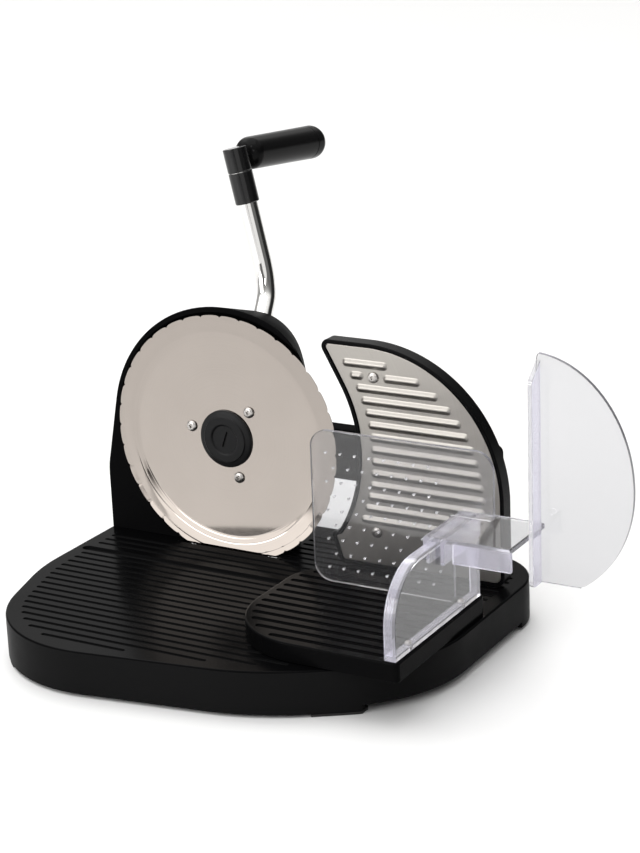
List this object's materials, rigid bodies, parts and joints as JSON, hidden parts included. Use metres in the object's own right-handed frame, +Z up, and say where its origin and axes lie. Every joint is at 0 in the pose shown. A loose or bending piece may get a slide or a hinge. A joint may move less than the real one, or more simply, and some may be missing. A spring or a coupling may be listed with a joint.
{
  "type": "manual bread slicer",
  "caption": "Hand-cranked bread slicer with a round wave-toothed blade, a crescent stop plate set by a knob, and a sliding carriage with a clear spiked pusher and hand shield.",
  "frame": {"origin": "Centre of the whole object's bounding box in plan, at the height of the rubber feet's undersides.", "axes": "+Z up; +X to the right as seen by the user, along the blade's face and the carriage's travel; +Y back, along the blade's axis, from the user to the crank."},
  "size_m": [0.4098, 0.3744, 0.2913],
  "materials": {
    "gloss_black_plastic": "smooth glossy black, satin on the walls",
    "satin_black_plastic": "satin black",
    "soft_grey_plastic": "satin dark grey, slightly soft",
    "black_rubber": "matte",
    "polished_stainless": "polished, faint turning marks",
    "bright_steel": "bright machined",
    "bright_chrome": "mirror bright",
    "sintered_bronze": "dull",
    "white_nylon": "natural white, satin",
    "clear_plastic": "clear, glossy"
  },
  "bodies": {
    "base": {"base_shell": "gloss_black_plastic", "foot_front_left": "black_rubber", "foot_front_right": "black_rubber", "foot_rear_left": "black_rubber", "foot_rear_right": "black_rubber", "housing_shell": "satin_black_plastic", "rear_cover": "satin_black_plastic", "base_screw_1": "bright_steel", "base_screw_2": "bright_steel", "base_screw_3": "bright_steel", "cover_screw_1": "bright_steel", "cover_screw_2": "bright_steel", "cover_screw_3": "bright_steel", "cover_screw_4": "bright_steel", "spindle_bush": "sintered_bronze", "crank_bush": "sintered_bronze", "spindle_rear_bush": "sintered_bronze", "crank_rear_bush": "sintered_bronze"},
    "crank": {"crank_shaft": "bright_steel", "drive_gear": "white_nylon", "crank_hub": "satin_black_plastic", "crank_arm": "bright_chrome", "crank_sleeve": "satin_black_plastic", "crank_elbow": "satin_black_plastic", "grip_pin": "bright_steel"},
    "grip": {"crank_grip": "soft_grey_plastic", "grip_end_cap": "soft_grey_plastic"},
    "blade": {"blade_disc": "polished_stainless", "blade_carrier": "satin_black_plastic", "blade_spindle": "bright_steel", "blade_gear": "white_nylon", "blade_screw_1": "bright_steel", "blade_screw_2": "bright_steel", "blade_screw_3": "bright_steel"},
    "lock": {"blade_lock_cap": "satin_black_plastic"},
    "knob": {"thickness_knob": "satin_black_plastic"},
    "stop": {"stop_frame": "satin_black_plastic", "stop_sheet": "polished_stainless", "sheet_screw_top": "bright_steel", "sheet_screw_bottom": "bright_steel", "guide_rod_left": "bright_chrome", "guide_rod_right": "bright_chrome", "adjusting_screw": "bright_steel"},
    "carriage": {"carriage_tray": "gloss_black_plastic", "carriage_runner": "white_nylon", "carriage_wall": "clear_plastic", "wall_screw_front": "bright_steel", "wall_screw_rear": "bright_steel"},
    "pusher": {"pusher_plate": "clear_plastic", "pusher_saddle": "clear_plastic", "hand_shield": "clear_plastic"}
  },
  "joints": [
    {"name": "crank_turn", "type": "hinge", "parent": "base", "child": "crank", "pos_m": [-0.1059, 0.00264, 0.152], "axis": [0, 1, 0], "continuous": true},
    {"name": "grip_spin", "type": "hinge", "parent": "crank", "child": "grip", "pos_m": [-0.13582, 0.08064, 0.28159], "axis": [0.0192, 0.9963, -0.0832], "continuous": true},
    {"name": "blade_turn", "type": "hinge", "parent": "base", "child": "blade", "pos_m": [-0.1059, 0.00264, 0.107], "axis": [0, 1, 0], "continuous": true},
    {"name": "lock_turn", "type": "hinge", "parent": "blade", "child": "lock", "pos_m": [-0.1059, 0.00264, 0.107], "axis": [0, 1, 0], "range_deg": [0, 90]},
    {"name": "knob_turn", "type": "hinge", "parent": "base", "child": "knob", "pos_m": [0.0331, 0.05294, 0.096], "axis": [0, 1, 0], "range_deg": [-110, 220]},
    {"name": "stop_slide", "type": "slide", "parent": "base", "child": "stop", "axis": [0, 1, 0], "range_m": [-0.005, 0.01]},
    {"name": "carriage_slide", "type": "slide", "parent": "base", "child": "carriage", "axis": [1, 0, 0], "range_m": [-0.173, 0.015]},
    {"name": "pusher_slide", "type": "slide", "parent": "carriage", "child": "pusher", "axis": [0, 1, 0], "range_m": [-0.05, 0.03]}
  ],
  "couplings": [
    {"joint": "blade_turn", "follows": "crank_turn", "ratio": -1.1429},
    {"joint": "knob_turn", "follows": "stop_slide", "rad_per_m": 383.9}
  ]
}
